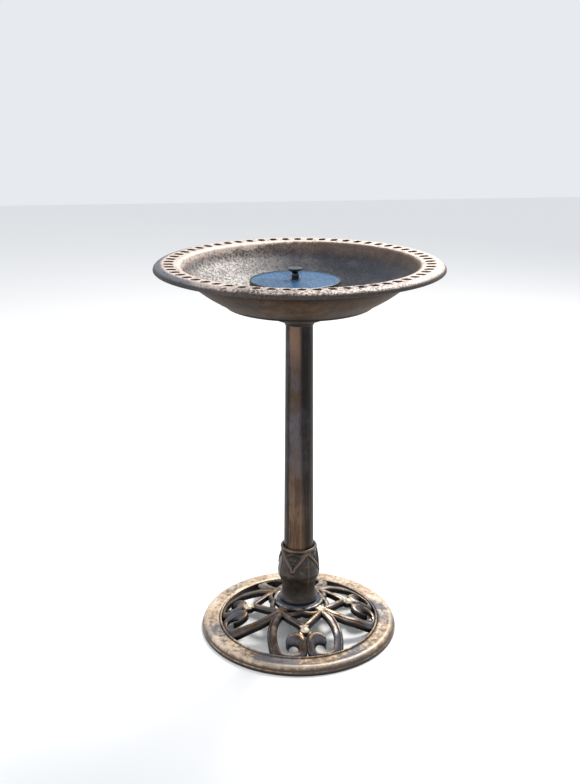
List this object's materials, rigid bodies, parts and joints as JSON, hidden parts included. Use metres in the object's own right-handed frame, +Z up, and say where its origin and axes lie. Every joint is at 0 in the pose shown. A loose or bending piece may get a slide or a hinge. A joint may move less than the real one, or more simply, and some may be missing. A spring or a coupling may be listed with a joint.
{
  "type": "bird bath",
  "caption": "Pedestal bird bath with a wide pierced-rim basin, a scrollwork ring base and a floating solar fountain.",
  "frame": {"origin": "on the ground under the pedestal's axis", "axes": "+Z up along the pedestal; -Y and +X point at two of the four petals of the base"},
  "size_m": [0.508, 0.508, 0.712],
  "materials": {
    "base_metal": "antique bronze paint, worn to copper and cream on the edges",
    "collar_bronze": "dark antique bronze paint on moulded resin",
    "pole_bronze": "brushed dark bronze paint on moulded resin",
    "head_bronze": "dark bronze paint on moulded resin",
    "rod_zinc": "zinc plated",
    "nut_zinc": "zinc plated",
    "washer_zinc": "zinc plated",
    "black_rubber": "soft black rubber",
    "basin_copper": "speckled antique copper paint on moulded resin",
    "black_abs": "moulded black, satin",
    "white_foam": "closed-cell foam",
    "green_board": "circuit board",
    "blue_cells": "blue polycrystalline cells",
    "clear_cover": "clear resin",
    "copper_windings": "laminated core with copper coils",
    "red_insulation": "insulated wire",
    "shaft_ceramic": "ceramic pin",
    "bush_black": "acetal",
    "pump_black": "moulded black",
    "screw_steel": "stainless",
    "impeller_white": "moulded white",
    "magnet_grey": "ferrite"
  },
  "bodies": {
    "pedestal": {"base": "base_metal", "leaf_collar": "collar_bronze", "pole": "pole_bronze", "pole_head": "head_bronze", "tie_rod": "rod_zinc", "tie_rod_nut": "nut_zinc", "base_washer": "washer_zinc", "base_nut": "nut_zinc"},
    "gasket": {"basin_gasket": "black_rubber"},
    "basin": {"basin": "basin_copper"},
    "fountain": {"float_tray": "black_abs", "buoyancy_foam": "white_foam", "panel_board": "green_board", "solar_cells": "blue_cells", "panel_cover": "clear_cover", "panel_collar": "black_abs", "pump_housing": "black_abs", "stator": "copper_windings", "driver_board": "green_board", "motor_leads": "red_insulation", "impeller_shaft": "shaft_ceramic", "shaft_bushes": "bush_black", "volute": "pump_black", "volute_cover": "pump_black", "cover_o_ring": "black_rubber", "intake_strainer": "black_abs", "housing_screws": "screw_steel"},
    "pump_rotor": {"impeller": "impeller_white", "rotor_magnet": "magnet_grey"},
    "nozzle": {"nozzle_body": "black_abs", "nozzle_rose": "black_abs"}
  },
  "joints": [
    {"name": "basin_rise", "type": "slide", "parent": "pedestal", "child": "gasket", "axis": [0, 0, 1], "range_m": [0, 0.015]},
    {"name": "basin_unscrew", "type": "hinge", "parent": "gasket", "child": "basin", "pos_m": [0, 0, 0.62], "axis": [0, 0, 1], "range_deg": [0, 1080]},
    {"name": "fountain_lift", "type": "slide", "parent": "basin", "child": "fountain", "axis": [0, 0, 1], "range_m": [0, 0.15]},
    {"name": "impeller_spin", "type": "hinge", "parent": "fountain", "child": "pump_rotor", "pos_m": [-0.008, 0.0135, 0.645], "axis": [0, 0, 1], "continuous": true},
    {"name": "nozzle_pull", "type": "slide", "parent": "fountain", "child": "nozzle", "axis": [0, 0, 1], "range_m": [0, 0.02]}
  ],
  "couplings": [
    {"joint": "basin_rise", "follows": "basin_unscrew", "m_per_rad": 0.00079577}
  ]
}
